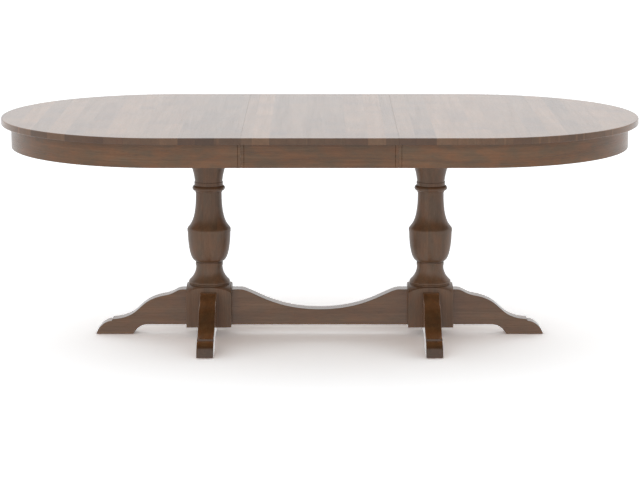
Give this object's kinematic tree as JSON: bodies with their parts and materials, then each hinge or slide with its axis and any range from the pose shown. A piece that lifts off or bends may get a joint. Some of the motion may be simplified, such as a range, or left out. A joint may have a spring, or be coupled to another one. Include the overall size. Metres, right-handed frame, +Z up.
{
  "type": "oval dining table",
  "caption": "Extending oval dining table on turned pedestal columns with scrolled feet and a scooped stretcher; geared slides part the end tops around a lift-out leaf.",
  "frame": {"origin": "on the floor, under the middle of the table", "axes": "+X along the table's length, -Y to the front, +Z up"},
  "size_m": [2.1838, 1.16, 0.768],
  "materials": {
    "top_wood": "brown stain, satin lacquer",
    "apron_wood": "brown stain, satin lacquer",
    "base_wood": "brown stain, satin lacquer",
    "plain_wood": "bare hardwood",
    "zinc_steel": "zinc plated",
    "gear_steel": "oiled steel",
    "nylon": "moulded nylon"
  },
  "bodies": {
    "base": {"bearer_left": "plain_wood", "bearer_right": "plain_wood", "bearer_screws": "zinc_steel", "column_left": "base_wood", "column_right": "base_wood", "fixed_rail_back": "plain_wood", "fixed_rail_front": "plain_wood", "fixed_rail_screws": "zinc_steel", "floor_glides": "nylon", "foot_back_left": "base_wood", "foot_back_right": "base_wood", "foot_bolts": "zinc_steel", "foot_dowels": "plain_wood", "foot_front_left": "base_wood", "foot_front_right": "base_wood", "foot_nuts": "zinc_steel", "foot_side_left": "base_wood", "foot_side_right": "base_wood", "foot_washers": "zinc_steel", "gear_pins": "zinc_steel", "stretcher": "base_wood"},
    "left_end": {"apron_blocks_left": "plain_wood", "apron_left": "apron_wood", "rack_left_back": "gear_steel", "rack_left_front": "gear_steel", "rail_screws_left": "zinc_steel", "sliding_rail_left_back": "plain_wood", "sliding_rail_left_front": "plain_wood", "top_left": "top_wood"},
    "right_end": {"apron_blocks_right": "plain_wood", "apron_right": "apron_wood", "rack_right_back": "gear_steel", "rack_right_front": "gear_steel", "rail_screws_right": "zinc_steel", "sliding_rail_right_back": "plain_wood", "sliding_rail_right_front": "plain_wood", "top_right": "top_wood"},
    "leaf": {"leaf_apron_back": "apron_wood", "leaf_apron_blocks": "plain_wood", "leaf_apron_front": "apron_wood", "leaf_batten_back": "plain_wood", "leaf_batten_front": "plain_wood", "leaf_screws": "zinc_steel", "leaf_top": "top_wood"},
    "pinion_front": {"pinion_front": "gear_steel"},
    "pinion_back": {"pinion_back": "gear_steel"}
  },
  "joints": [
    {"name": "left_pull", "type": "slide", "parent": "base", "child": "left_end", "axis": [-1, 0, 0], "range_m": [0, 0.038]},
    {"name": "right_pull", "type": "slide", "parent": "base", "child": "right_end", "axis": [1, 0, 0], "range_m": [0, 0.038]},
    {"name": "pinion_front_turn", "type": "hinge", "parent": "base", "child": "pinion_front", "pos_m": [0, -0.26, 0.731], "axis": [0, 0, 1], "range_deg": [-121, 0]},
    {"name": "pinion_back_turn", "type": "hinge", "parent": "base", "child": "pinion_back", "pos_m": [0, 0.26, 0.731], "axis": [0, 0, 1], "range_deg": [0, 121]},
    {"name": "leaf_lift", "type": "slide", "parent": "base", "child": "leaf", "axis": [0, 0, 1], "range_m": [0, 0.25]}
  ],
  "couplings": [
    {"joint": "right_pull", "follows": "left_pull", "ratio": 1},
    {"joint": "pinion_back_turn", "follows": "left_pull", "rad_per_m": 55.556},
    {"joint": "pinion_front_turn", "follows": "left_pull", "rad_per_m": -55.556}
  ]
}
